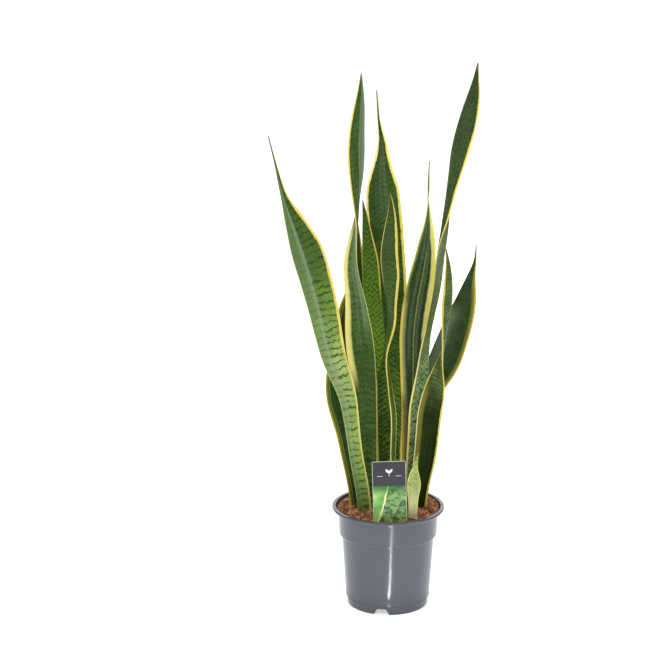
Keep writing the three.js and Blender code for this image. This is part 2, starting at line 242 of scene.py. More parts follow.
def cad_rings(node):
    """The rings of eight points that a CAD blade is lofted through, foot first.

    In each ring, point 0 is the left margin as seen from the front at the foot,
    points 1 to 3 are the front face, 4 the right margin and 5 to 7 the back.
    """
    mesh = node.data
    places = np.round([v.co for v in mesh.vertices], 6)
    points, index = np.unique(places, axis=0, return_inverse=True)
    triangles = index.reshape(-1)[[list(polygon.vertices) for polygon in mesh.polygons]]
    near = [set() for _ in points]
    for corners in triangles:
        for corner in corners:
            near[corner].update(set(corners) - {corner})
    tip = max(range(len(points)), key=lambda i: (len(near[i]) == 8, points[i][2]))
    seen, above, rings = {tip}, {tip}, []
    while True:
        layer = set().union(*(near[i] for i in above)) - seen
        if len(layer) < 8:
            break
        beside = {i: [] for i in layer}
        for corners in triangles:
            pair = [i for i in corners if i in layer]
            if len(pair) == 2 and any(i in above for i in corners):
                beside[pair[0]].append(pair[1])
                beside[pair[1]].append(pair[0])
        ring = [min(layer)]
        while len(ring) < 8:
            ring.append(next(i for i in beside[ring[-1]] if i not in ring))
        rings.insert(0, points[ring])
        seen |= layer
        above = layer
    spans = [[np.linalg.norm(ring[k] - ring[k + 4]) for k in range(4)] for ring in rings]
    widest = int(np.argmax(np.max(spans, axis=1)))
    rings[widest] = np.roll(rings[widest], -int(np.argmax(spans[widest])), axis=0)
    order = list(range(widest + 1, len(rings))) + list(range(widest - 1, -1, -1))
    for i in order:
        beside = rings[i - 1] if i > widest else rings[i + 1]
        target = beside - beside.mean(0) + rings[i].mean(0)
        ways = (rings[i], rings[i][::-1])
        options = [np.roll(way, k, axis=0) for way in ways for k in range(8)]
        rings[i] = min(options, key=lambda option: ((option - target) ** 2).sum())
    rings = np.array(rings)
    low = rings[1]
    if low[0][0] > low[4][0]:
        rings = np.roll(rings, 4, axis=1)
        low = rings[1]
    front = np.cross(low[4] - low[0], rings[2].mean(0) - low.mean(0))
    if np.dot(low[2] - low[6], front) < 0:
        rings = np.roll(rings[:, ::-1], 1, axis=1)
    return rings


def spline(values, at):
    """Natural cubic splines through rows of values at 0, 1, 2..., read at other places."""
    values = np.asarray(values, float)
    n = len(values)
    flat = values.reshape(n, -1)
    matrix = np.zeros((n, n))
    right = np.zeros_like(flat)
    matrix[0, 0] = matrix[-1, -1] = 1
    for i in range(1, n - 1):
        matrix[i, i - 1 : i + 2] = (1, 4, 1)
        right[i] = 6 * (flat[i - 1] - 2 * flat[i] + flat[i + 1])
    curve = np.linalg.solve(matrix, right)
    i = np.clip(np.floor(at).astype(int), 0, n - 2)
    t = (np.asarray(at) - i)[:, None]
    u = 1 - t
    made = (
        flat[i] * u
        + flat[i + 1] * t
        + ((u**3 - u) * curve[i] + (t**3 - t) * curve[i + 1]) / 6
    )
    return made.reshape((len(at),) + values.shape[1:])


def wander(values, seed, size=1.0):
    """A smooth random line between about -1 and 1, read at each value."""
    return np.array([noise.noise(Vector((v / size, seed * 3.7, 0.5))) * 1.6 for v in values])


def make_leaf(node_name, **look):
    """A blade through a CAD leaf's rings, with rounded margins, creases and a waved edge."""
    look = USUAL | look
    rings = cad_rings(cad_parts[node_name])
    centre = (rings[:, 2] + rings[:, 6]) / 2
    half = (rings[:, 4] - rings[:, 0]) / 2
    cup = (rings[:, 4] + rings[:, 0]) / 2 - centre
    thick = (rings[:, 2] - rings[:, 6]) / 2
    length = np.linalg.norm(np.diff(centre, axis=0), axis=1).sum()
    rows = int(length / ROW_STEP)
    at = np.linspace(0, len(rings) - 1, rows)
    centre, half, cup, thick = (spline(v, at) for v in (centre, half, cup, thick))
    along = np.concatenate([[0], np.cumsum(np.linalg.norm(np.diff(centre, axis=0), axis=1))])
    half_width = np.linalg.norm(half, axis=1)
    front = thick / np.linalg.norm(thick, axis=1)[:, None]
    end = length - along
    close = np.clip(end / TIP_ROUND, 0, 1)[:, None] ** 0.5
    close[-1] = 0.02

    # Points crowd towards the margins, where the blade thins and rounds off.
    stance = np.sin(np.linspace(-math.pi / 2, math.pi / 2, COLUMNS))
    ring_stance = np.concatenate([stance, stance[-2:0:-1]])
    ring_face = np.concatenate([np.ones(COLUMNS), -np.ones(COLUMNS - 2)])
    ring_face[[0, COLUMNS - 1]] = 0
    edge = np.sqrt(np.clip(1 - np.abs(ring_stance) ** 7, 0, 1))
    body = (1 - MARGIN_THINNING * ring_stance**2) * edge

    seed = look["seed"]
    wave = [wander(along, seed + side, WAVE_LENGTH) * look["wave"] * MM for side in (0, 9)]
    fade = np.clip((along - STIFF_FOOT) / STIFF_FADE, 0, 1)
    fade = fade * np.clip(half_width / STIFF_HALF, 0, 1)
    positions, blades, sides = [], [], []
    for k, s in enumerate(ring_stance):
        across = s * half
        lift = cup * s * s
        ripple = np.where(s < 0, wave[0], wave[1]) * fade * abs(s) ** 3
        for place, height, size in look["creases"]:
            ripple = ripple + fade * height * MM * math.exp(-(((s - place) / size) ** 2))
        offset = ring_face[k] * body[k]
        point = centre + (across + lift) * close + thick * offset * close
        point = point + front * ripple[:, None]
        positions.append(point)
        blades.append(
            np.stack([(1 + s) * half_width, (1 - s) * half_width, along], axis=1) / MM
        )
        sides.append(np.full(rows, float(ring_face[k] >= 0)))
    around = len(ring_stance)
    positions = np.stack(positions, axis=1).reshape(-1, 3)
    blades = np.stack(blades, axis=1).reshape(-1, 3)
    sides = np.stack(sides, axis=1).reshape(-1)
    positions = np.vstack([positions, centre[0], centre[-1]])
    middle = [half_width[0] / MM, half_width[0] / MM, 0]
    blades = np.vstack([blades, middle, [*([half_width[-1] / MM] * 2), along[-1] / MM]])
    sides = np.append(sides, [1, 1])
    made = add_object(
        "blade_" + node_name.removeprefix("leaf_"),
        positions,
        [face[::-1] for face in closed_faces(rows, around)],
        leaf_material(node_name, look, along[-1] / MM),
        stands_for=node_name,
    )
    set_values(made, "blade", blades)
    set_values(made, "side", sides)


# What a leaf's look leaves unsaid. Lengths are in millimetres.
USUAL = {
    "slot": "leaf",
    "wave": 0.9,  # height of the wave along a margin
    "creases": (),  # place across, height, width
    "blotch": 0.45,  # strength of the cloudy dark patches
    "streaks": 0.16,  # strength of the pale lengthwise streaks
    # painted sheen, reflections and highlights: stops across the blade, and a span
    "tints": (),
    "gamma": 1.12,
    "gain": (1.0, 1.0, 0.85),
    "tip": 16.0,  # length of the dry point
    "gloss": 0.1,
}
BANDS = {
    "period": 8.5, "arch": 0.35, "tooth": 1.6, "pitch": 7.0, "wander": 9.0,
    "thin": 0.35, "soft": 0.35, "break": 0.9, "depth": 0.85,
}
RAGGED = 2.2  # unevenness of a margin's inner edge
MARGIN_REACH = 16.0  # where the margin ramps end
FULL_MARGIN_WIDTH = 22.0  # narrower blades have narrower margins
SPAN_FADE = 0.04  # share of the length over which a tint or margin comes and goes


def leaf_material(name, look, length):
    """Green ground with wavy dark cross bands, lengthwise painted sheen and highlights, and
    coloured margins.
    """
    g = Graph(name + "_skin")
    blade = g.split(g.attribute("blade").outputs["Vector"])
    left, right, along = blade[0], blade[1], blade[2]
    x = g.scaled(g.minus(left, right), 0.5)
    width = g.math("MAXIMUM", g.add(left, right), 0.5)
    stance = g.math("DIVIDE", g.scaled(x, 2.0), width)
    share = g.math("DIVIDE", along, length)
    seed = float(look["seed"]) * 17.3
    flat = g.vector(g.add(x, seed), along, seed)

    def stretched(across_scale, along_scale, offset, detail=2.0):
        """Noise with its own scale either way; each offset gives another pattern."""
        place = g.vector(
            g.scaled(g.add(x, seed + offset), across_scale),
            g.scaled(along, along_scale),
            offset + seed,
        )
        return g.noise(place, 1.0, detail, 0.55)

    # Cross bands: height plus a zigzag across the blade plus wandering.
    bands = BANDS | look.get("bands", {})
    coarse = g.minus(stretched(0.05, 0.035, 3.0), 0.5)
    fine = g.minus(stretched(0.35, 0.2, 11.0), 0.5)
    tooth_phase = g.add(g.scaled(x, 2 * math.pi / bands["pitch"]), g.scaled(coarse, 14.0))
    tooth = g.scaled(g.math("SINE", tooth_phase), bands["tooth"])
    place = g.add(
        along,
        g.scaled(g.math("ABSOLUTE", x), bands["arch"]),
        g.scaled(coarse, bands["wander"] * 2),
        g.scaled(fine, 5.0),
        tooth,
    )
    wave = g.math("SINE", g.scaled(place, 2 * math.pi / bands["period"]))
    broken = g.scaled(g.minus(stretched(0.09, 0.12, 23.0), 0.5), bands["break"] * 3)
    line = g.step(g.add(wave, broken), bands["thin"], bands["thin"] + 2 * bands["soft"])
    line = g.scaled(line, bands["depth"])
    fleck = g.step(stretched(0.5, 0.9, 41.0, 3.0), 0.56, 0.7)
    line = g.math("MAXIMUM", line, g.scaled(fleck, 0.45 * bands["depth"]))

    light, _ = g.ramp(share, look["light"])
    dark, _ = g.ramp(share, look["dark"])
    blotch = g.step(stretched(0.06, 0.045, 57.0, 3.0), 0.38, 0.66)
    ground = g.mix(g.scaled(blotch, look["blotch"]), light, dark)
    colour = g.mix(line, ground, dark)

    # Lengthwise streaks, fine and broad.
    streak = g.step(stretched(0.9, 0.012, 71.0), 0.35, 0.75)
    colour = g.mix(g.scaled(streak, look["streaks"]), colour, (112, 138, 92))
    dim = g.step(stretched(1.6, 0.02, 83.0), 0.45, 0.8)
    colour = g.mix(g.scaled(dim, 0.25), colour, (30, 48, 26))
    # Painted light: greyish sheen and sky reflections, and a pale ridge highlight, laid across
    # the blade over spans of its length.
    for stops, span in look["tints"]:
        ragged = g.add(stance, g.scaled(fine, 0.12))
        tint, opacity = g.ramp(ragged, stops, -1.0, 1.0)
        here = g.window(share, span[0] + SPAN_FADE, span[1] - SPAN_FADE, SPAN_FADE)
        colour = g.mix(g.scaled(opacity, here), colour, tint)
    colour = g.node("Gamma", {"Color": colour, "Gamma": look["gamma"]}).outputs[0]
    colour = g.mix(1.0, colour, (*look["gain"], 1.0), "MULTIPLY")
    if "back" in look:
        tint, opacity = look["back"]
        back = g.minus(1.0, g.attribute("side").outputs["Fac"])
        colour = g.mix(g.scaled(back, opacity), colour, tint)

    # Margins, by the distance from each edge in millimetres.
    rough_edge = g.add(
        g.scaled(g.minus(stretched(0.05, 0.09, 5.0), 0.5), RAGGED),
        g.scaled(g.minus(stretched(0.4, 0.6, 15.0), 0.5), 0.8 * RAGGED),
    )
    for side, distance in (("left", left), ("right", right)):
        narrowing = g.math("MAXIMUM", 1.0, g.math("DIVIDE", FULL_MARGIN_WIDTH, width))
        distance = g.scaled(distance, narrowing)
        inner = g.step(distance, 0.8, 3.0)
        wobbled = g.add(distance, g.scaled(rough_edge, inner))
        for stops, span in look[side]:
            margin, opacity = g.ramp(wobbled, stops, 0.0, MARGIN_REACH)
            here = g.window(share, span[0], span[1], SPAN_FADE)
            shade = g.scaled(stretched(0.7, 0.05, 91.0), 0.35)
            margin = g.mix(shade, margin, (214, 200, 140), "MULTIPLY")
            colour = g.mix(g.scaled(opacity, here), colour, margin)

    # The dry brown point.
    tip = g.step(g.add(along, g.scaled(coarse, 10.0)), length - look["tip"], length - 3.0)
    colour = g.mix(g.scaled(tip, 0.8), colour, (128, 104, 74))

    ridges = stretched(1.1, 0.015, 101.0)
    grain = g.noise(flat, 0.8, 3.0, 0.6)
    relief = g.add(g.scaled(ridges, 0.8), g.scaled(grain, 0.25), g.scaled(line, -0.12))
    g.bump(relief, 0.35 * MM, 0.55)
    roughness = g.add(0.36, g.scaled(grain, 0.14))
    return g.finish(colour, roughness, Specular_IOR_Level=look["gloss"])


# Display colours, 0 to 255. A look gives its colours by the share of the leaf's length from
# the foot (light, dark), across the blade from -1 to 1 (painted sheen, reflections and
# highlights), or in millimetres from a margin (left, right). The last two hold over a span of
# shares.
WHOLE = (-1.0, 2.0)
YELLOW = (242, 220, 112)
# Painted light: a pale highlight along a ridge.
PAINTED_RIDGE_HIGHLIGHT = (232, 224, 150)
CREAM = (238, 230, 172)
LIME = (190, 192, 70)
OLIVE = (146, 138, 58)
MID = (78, 112, 50)
DEEP = (50, 80, 34)
DARK = (34, 58, 32)
# Painted light: a grey sky reflection on a glossy face.
PAINTED_SHEEN = (142, 158, 140)
# Painted light: a duller grey-green reflection where a fold or twist turns the face away.
PAINTED_GREY_SHEEN = (116, 142, 104)


def band(colour, width, opacity=1.0, soft=0.7):
    """Margin stops: one colour to that many millimetres from the edge."""
    return [(0, colour, opacity), (width, colour, opacity), (width + soft, colour, 0)]


make_leaf(
    "leaf_far_left", seed=1, blotch=0.25,
    light=[(0, (134, 164, 84)), (0.2, (144, 170, 92)), (0.42, (164, 184, 124)),
           (0.56, (122, 152, 68)), (0.68, (80, 106, 42)), (1, (60, 86, 36))],
    dark=[(0, (52, 80, 48)), (0.5, (38, 66, 30)), (1, (28, 48, 26))],
    bands={"period": 11.0, "arch": -0.1, "tooth": 0.7, "pitch": 9.0, "thin": 0.4, "break": 0.55},
    creases=[(-0.3, 1.8, 0.16)],
    # Painted light: a duller grey-green reflection over the left third, beyond the fold, and a
    # pale painted highlight along the fold.
    tints=[([(-1, PAINTED_GREY_SHEEN, 0.55), (-0.5, PAINTED_GREY_SHEEN, 0.5), (-0.3, PAINTED_SHEEN, 0.75),
             (-0.18, PAINTED_SHEEN, 0.1), (0, PAINTED_SHEEN, 0)], WHOLE)],
    left=[(band((176, 186, 112), 0.7, 0.8), WHOLE)],
    right=[([(0, (222, 204, 104)), (3.4, (216, 194, 96)), (4.0, (120, 136, 50), 0.6),
             (5, MID, 0)], (0.44, 2)),
           ([(0, (214, 210, 132)), (1.8, (196, 190, 100)), (2.6, (150, 160, 80), 0.5),
             (3.4, MID, 0)], (-1, 0.44))],
)
make_leaf(
    "leaf_low_left", seed=2,
    light=[(0, (66, 96, 40)), (1, DEEP)],
    dark=[(0, (34, 54, 28)), (1, (28, 50, 28))],
    bands={"period": 9.0, "depth": 0.7},
    left=[([(0, (206, 204, 66)), (1.6, (196, 190, 60)), (2.4, OLIVE), (5.0, (96, 104, 40)),
            (6.2, (60, 84, 36), 0.8), (6.8, (176, 186, 110), 0.9), (7.6, (60, 84, 36), 0.4),
            (9, DEEP, 0)], WHOLE)],
    right=[(band(LIME, 2.2), WHOLE)],
)
make_leaf(
    "leaf_tall_left", seed=3, streaks=0.35,
    light=[(0, (104, 138, 62)), (0.35, (72, 100, 38)), (0.6, (92, 124, 56)),
           (0.75, (72, 100, 38)), (1, (58, 84, 34))],
    dark=[(0, DARK), (0.5, (38, 66, 34)), (1, (40, 64, 36))],
    bands={"period": 9.5, "arch": 0.2, "thin": 0.3, "tooth": 1.2},
    # Painted light: grey sheen and reflections across parts of the middle and upper blade.
    tints=[([(-0.1, PAINTED_SHEEN, 0), (0.05, PAINTED_SHEEN, 0.3), (0.15, PAINTED_SHEEN, 0.0), (0.35, PAINTED_SHEEN, 0.1),
             (0.5, PAINTED_SHEEN, 0.5), (0.75, PAINTED_GREY_SHEEN, 0.45), (1, PAINTED_GREY_SHEEN, 0.2)], (0.4, 0.72)),
           ([(-1, PAINTED_SHEEN, 0.35), (-0.6, PAINTED_SHEEN, 0.6), (-0.35, PAINTED_SHEEN, 0.25), (-0.2, PAINTED_SHEEN, 0.6),
             (0.0, PAINTED_SHEEN, 0)], (0.68, 2))],
    left=[([(0, (240, 226, 130)), (4.0, (242, 232, 150)), (7.0, (226, 218, 130)),
            (8.8, (186, 186, 104), 0.9), (10.5, MID, 0)], (0.34, 0.66)),
          (band((222, 212, 128), 2.4), (-1, 0.34))],
    right=[([(0, (198, 196, 128)), (1.0, (190, 190, 110)), (1.7, MID, 0)], (-1, 0.6)),
           (band((226, 206, 104), 1.3), (0.6, 2))],
)
make_leaf(
    "leaf_mid_left", seed=4, blotch=0.12, streaks=0.08,
    light=[(0, (84, 116, 42)), (0.3, (108, 144, 44)), (0.6, (128, 164, 50)), (1, (72, 102, 36))],
    dark=[(0, (36, 58, 28)), (0.6, (40, 74, 28)), (1, (34, 60, 28))],
    bands={"period": 8.0, "arch": 0.15, "tooth": 2.6, "pitch": 9.0, "wander": 3.0, "thin": 0.3,
           "break": 0.25, "depth": 0.95},
    left=[(band((150, 160, 70), 0.8, 0.6), WHOLE)],
    right=[(band((232, 200, 96), 1.8), (0.72, 2))],
)
make_leaf(
    "leaf_tall_back", seed=5, streaks=0.2,
    # Painted light: the lower part is made lighter to offset the shade that the leaves in front
    # cast on it.
    light=[(0, (110, 144, 56)), (0.3, (112, 146, 56)), (0.5, (82, 114, 42)), (0.7, (76, 106, 40)),
           (1, (58, 82, 42))],
    dark=[(0, (32, 50, 24)), (0.5, (36, 66, 30)), (1, (36, 56, 38))],
    bands={"period": 8.0, "arch": 0.7, "tooth": 1.4, "pitch": 8.0, "wander": 5.0, "thin": 0.15},
    # Painted light: faint grey sheen streaks down the middle of the upper blade.
    tints=[([(-0.6, PAINTED_SHEEN, 0), (-0.3, PAINTED_SHEEN, 0.08), (-0.14, PAINTED_SHEEN, 0.22), (0.02, PAINTED_SHEEN, 0.08),
             (0.16, PAINTED_SHEEN, 0.25), (0.4, PAINTED_SHEEN, 0)], (0.66, 0.92))],
    left=[([(0, (250, 244, 206)), (1.6, (248, 238, 170)), (3.6, YELLOW), (4.3, MID, 0)], WHOLE)],
    right=[([(0, (250, 238, 132)), (3.8, (246, 232, 108)), (4.6, (130, 140, 50), 0.6),
             (5.6, MID, 0)], WHOLE)],
)
make_leaf(
    "leaf_front_twisted", seed=6, gain=(1.0, 0.97, 0.6), streaks=0.15, tip=9.0,
    light=[(0, (104, 130, 66)), (0.45, (84, 114, 48)), (0.6, (72, 100, 50)), (1, (72, 94, 56))],
    dark=[(0, DARK), (1, (42, 64, 44))],
    bands={"period": 7.5, "depth": 0.8, "arch": 0.5, "tooth": 1.0, "wander": 4.0, "break": 0.4},
    left=[([(0, (220, 198, 92)), (1.2, (220, 196, 90)), (1.5, (150, 130, 60)),
            (1.9, (232, 218, 130)), (2.8, (206, 184, 84)), (3.4, MID, 0)], (0.42, 2)),
          ([(0, (228, 214, 120)), (2.4, (222, 204, 104)), (3.2, MID, 0)], (-1, 0.42))],
    right=[(band((206, 196, 110), 1.1), (0.42, 2)), (band((226, 214, 130), 2.2), (-1, 0.42))],
)
make_leaf(
    "leaf_mid_right", seed=7,
    light=[(0, (64, 92, 36)), (0.5, (56, 84, 38)), (0.8, (70, 94, 50)), (1, (96, 112, 52))],
    dark=[(0, (32, 50, 26)), (1, (34, 50, 34))],
    bands={"period": 8.0, "arch": 0.5, "thin": 0.2, "depth": 0.7},
    # Painted light: a pale highlight along a ridge near the middle, and grey sheen to either
    # side.
    tints=[([(-0.02, PAINTED_RIDGE_HIGHLIGHT, 0), (0.04, (150, 168, 96), 0.85), (0.1, PAINTED_RIDGE_HIGHLIGHT, 0)], (0.3, 0.8)),
           ([(-0.5, PAINTED_SHEEN, 0), (-0.3, PAINTED_SHEEN, 0.3), (-0.1, PAINTED_SHEEN, 0), (0.3, PAINTED_SHEEN, 0.35),
             (0.45, PAINTED_SHEEN, 0)], (0.4, 0.9))],
    left=[([(0, (236, 226, 104)), (1.6, (216, 212, 96)), (2.6, (150, 156, 90), 0.7),
            (6, MID, 0)], (0.62, 2)),
          ([(0, (234, 220, 96)), (3.0, (230, 214, 98)), (3.8, (182, 176, 122)),
            (7.0, (146, 144, 98), 0.9), (9.5, MID, 0)], (0.34, 0.62)),
          ([(0, (200, 184, 84)), (2.4, (184, 170, 80)), (3.2, (132, 128, 78)),
            (7.0, (112, 112, 66), 0.9), (9.5, MID, 0)], (-1, 0.34))],
    right=[([(0, (250, 242, 120)), (3.6, (250, 242, 132)), (6.5, (220, 220, 160)),
             (7.8, MID, 0)], (0.5, 2)),
           ([(0, (224, 196, 74)), (2.0, (216, 190, 78)), (2.8, OLIVE), (5.5, (116, 116, 54)),
             (7, MID, 0)], (-1, 0.5))],
)
make_leaf(
    "leaf_tall_right", seed=8, blotch=0.3,
    light=[(0, (156, 178, 130)), (0.26, (146, 170, 120)), (0.42, (112, 138, 72)),
           (0.65, (86, 110, 52)), (1, (68, 88, 44))],
    dark=[(0, (40, 62, 38)), (0.5, (36, 56, 34)), (1, (38, 56, 42))],
    bands={"period": 9.0, "arch": 0.4, "tooth": 2.6, "pitch": 9.0, "break": 1.3, "thin": 0.15,
           "wander": 10.0},
    back=((44, 64, 42), 0.4),
    left=[([(0, CREAM), (2.2, (236, 218, 120)), (3.8, (226, 204, 96)),
            (4.6, MID, 0)], (-1, 0.46)),
          ([(0, (236, 214, 96)), (1.6, (228, 206, 90)), (2.3, MID, 0)], (0.46, 2))],
    right=[(band((150, 160, 100), 0.8, 0.7), WHOLE)],
)
make_leaf(
    "leaf_leaning_right", seed=9,
    light=[(0, (60, 84, 44)), (0.5, (66, 90, 58)), (1, (58, 84, 50))],
    dark=[(0, (34, 50, 32)), (1, (36, 54, 42))],
    bands={"depth": 0.6},
    # Painted light: grey sheen over the left half of the middle.
    tints=[([(-1, PAINTED_SHEEN, 0.3), (-0.6, PAINTED_SHEEN, 0.45), (-0.2, PAINTED_SHEEN, 0.1),
             (0.2, PAINTED_SHEEN, 0)], (0.3, 0.8))],
    left=[(band((120, 136, 70), 0.6, 0.5), WHOLE)],
    right=[([(0, (226, 206, 86)), (2.2, (214, 196, 84)), (3.2, OLIVE), (7.0, (112, 118, 62)),
             (9.0, MID, 0)], WHOLE)],
)
make_leaf(
    "leaf_right_twisted", seed=10, gloss=0.03, gain=(0.6, 0.56, 0.45),
    light=[(0, (52, 78, 26)), (0.42, (44, 68, 24)), (0.56, (136, 162, 110)), (1, (118, 144, 92))],
    dark=[(0, (30, 50, 24)), (0.4, (28, 46, 26)), (1, (48, 70, 50))],
    bands={"period": 6.5, "arch": 0.1, "tooth": 0.8, "wander": 4.0, "depth": 0.6},
    left=[([(0, (236, 236, 196)), (0.9, (222, 220, 160)), (1.6, (118, 114, 46)),
            (7.5, (104, 100, 34)), (9.0, (60, 66, 26), 0.6), (10.5, DEEP, 0)], (-1, 0.5)),
          (band((226, 210, 106), 1.6), (0.5, 2))],
    right=[(band((208, 194, 96), 2.4), WHOLE)],
)
make_leaf(
    "leaf_young", seed=11, slot="young_leaf", gamma=1.0, wave=0.2, tip=8.0,
    # Painted light: the near-white foot offsets the shade that falls on it low in the pot.
    light=[(0, (252, 250, 222)), (0.3, (244, 244, 204)), (0.6, (172, 184, 124)),
           (1, (138, 158, 88))],
    dark=[(0, (236, 234, 190)), (0.4, (190, 198, 140)), (0.65, (104, 132, 70)),
          (1, (74, 102, 50))],
    bands={"period": 9.0, "tooth": 2.4, "thin": 0.3, "wander": 12.0, "break": 1.4, "depth": 0.7},
    left=[(band((214, 208, 110), 1.4), WHOLE)],
    right=[(band((214, 208, 110), 1.4), WHOLE)],
)


# ---- pot

POT_SEGMENTS = 192
WALL = 1.6 * MM
LIP_WIDTH = 6 * MM
LIP_DEPTH = 5 * MM
FLARE_DEPTH = 5 * MM
COLLAR_TOP = 76 * MM
COLLAR_FOOT = 74.5 * MM
LEDGE = 110.5 * MM
BODY_TOP = 70.2 * MM
BODY_FOOT = 64 * MM
BAND = 61.8 * MM
BAND_HEIGHT = 14 * MM
BAND_TAPER = 0.4 * MM
FLOOR_UNDER = 10.5 * MM
FLOOR_TOP = 12.5 * MM
PAD = 13 * MM
NOTCHES = {"count": 3, "first": -100, "height": 9.5 * MM, "depth": 8 * MM, "inset": 4.8 * MM}
NOTCH_HALVES = (12.5 * MM, 6 * MM)  # half its width at the foot and at the top
NOTCH_CORNER = 1.5 * MM
DRAINS = {"count": 8, "circle": 40 * MM, "radius": 4.5 * MM}


def arc(radius, height, size, start, end, steps=6):
    """Points of an arc of (radius, height), between two angles in degrees."""
    angles = np.radians(np.linspace(start, end, steps))
    return [(radius + size * math.cos(a), height + size * math.sin(a)) for a in angles]


def pot_profile():
    """The outline of the wall as (radius, height), from the middle below to the middle inside."""
    low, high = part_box("pot")
    rim, top = (high.y - low.y) / 2, high.z
    lip_foot = top - LIP_DEPTH
    flare = lip_foot - FLARE_DEPTH
    inner = rim - LIP_WIDTH
    foot = BAND - 0.6 * MM
    under = foot - 2 * MM
    outside = [
        (0, 0), (PAD, 0), (PAD + 1 * MM, FLOOR_UNDER),
        # the foot's hollow, its rounded edge and the band round it
        (under - BAND_TAPER, FLOOR_UNDER), (under, 0.3 * MM),
        *arc(foot - 1.2 * MM, 0.5 * MM, 0.5 * MM, 200, 270, 3),
        *arc(foot - 0.6 * MM, 0.7 * MM, 0.7 * MM, 270, 355, 5),
        *arc(BAND + BAND_TAPER - 0.6 * MM, BAND_HEIGHT - 0.6 * MM, 0.6 * MM, 0, 60, 4),
        *arc(BODY_FOOT + 0.3 * MM, BAND_HEIGHT + 0.9 * MM, 0.5 * MM, 250, 180, 4),
        # the body, the ledge and the collar
        (BODY_FOOT + 0.3 * MM, BAND_HEIGHT + 8 * MM), (BODY_TOP - 0.3 * MM, LEDGE - 6 * MM),
        *arc(BODY_TOP + 1.2 * MM, LEDGE - 1.2 * MM, 1.2 * MM, 180, 100, 5),
        *arc(COLLAR_FOOT - 2.4 * MM, LEDGE + 2.4 * MM, 2.4 * MM, -90, 0, 9),
        (COLLAR_FOOT + 0.4 * MM, LEDGE + 14 * MM), (COLLAR_TOP - 0.2 * MM, flare - 2 * MM),
        *arc(COLLAR_TOP + 4 * MM, flare + 0.4 * MM, 4 * MM, 180, 128, 6),
        # the lip
        *arc(rim - 1.9 * MM, lip_foot + 1.9 * MM, 1.9 * MM, -70, 0, 6),
        *arc(rim - 2.2 * MM, top - 2.2 * MM, 2.2 * MM, 5, 90, 8),
        *arc(inner + 1.2 * MM, top - 1.2 * MM, 1.2 * MM, 90, 180, 6),
    ]
    band_inner = BAND - WALL - 1 * MM
    inside = [
        (inner - 0.6 * MM, lip_foot), (COLLAR_TOP - WALL, flare - 1 * MM),
        (COLLAR_FOOT - WALL, LEDGE + 4 * MM), (BODY_TOP - WALL + 0.6 * MM, LEDGE - 1 * MM),
        (BODY_FOOT - WALL, BAND_HEIGHT + 2 * MM),
        (band_inner, BAND_HEIGHT - 1 * MM), (band_inner, FLOOR_TOP), (0, FLOOR_TOP),
    ]
    return outside + inside


def prism(outline, depth):
    """A mesh of an (x, z) outline from y 0 to depth."""
    mesh = bpy.data.meshes.new("prism")
    count = len(outline)
    vertices = [(x, y, z) for y in (0, depth) for x, z in outline]
    faces = [tuple(range(count)), tuple(reversed(range(count, 2 * count)))]
    for k in range(count):
        following = (k + 1) % count
        faces.append((following, k, k + count, following + count))
    mesh.from_pydata(vertices, [], faces)
    return mesh


def cut(target, mesh, places):
    """Subtracts a mesh from target at each place matrix."""
    for place in places:
        cutter = new_object("cutter", mesh.copy())
        cutter.matrix_world = place
        modifier = target.modifiers.new("cut", "BOOLEAN")
        modifier.operation = "DIFFERENCE"
        modifier.solver = "EXACT"
        modifier.object = cutter
        apply_modifiers(target)
        bpy.data.objects.remove(cutter)


def pot_material():
    """Moulded blue-grey polypropylene: satin, with faint flow marks and scuffs."""
    g = Graph("moulded_plastic")
    place = g.node("TexCoord").outputs["Object"]
    x, y, z = g.split(place)
    cloud = g.noise(place, 14.0, 3.0)
    grain = g.noise(place, 2600.0, 2.0)
    rings = g.noise(g.vector(0.0, 0.0, g.scaled(z, 420.0)), 1.0, 2.0)
    across = g.vector(g.scaled(x, 90.0), g.scaled(y, 90.0), g.scaled(z, 500.0))
    scuff = g.step(g.noise(across, 1.0, 4.0), 0.66, 0.8)
    colour = g.mix(cloud, (68, 72, 80), (76, 81, 90))
    colour = g.mix(g.scaled(scuff, 0.15), colour, (128, 133, 142))
    swell = g.noise(g.vector(x, y, g.scaled(z, 0.5)), 38.0, 1.0)
    relief = g.add(g.scaled(grain, 0.2), g.scaled(rings, 0.3), g.scaled(swell, 14.0))
    g.bump(relief, 0.06 * MM, 0.6)
    roughness = g.add(0.13, g.scaled(cloud, 0.08), g.scaled(scuff, 0.1))
    return g.finish(colour, roughness)


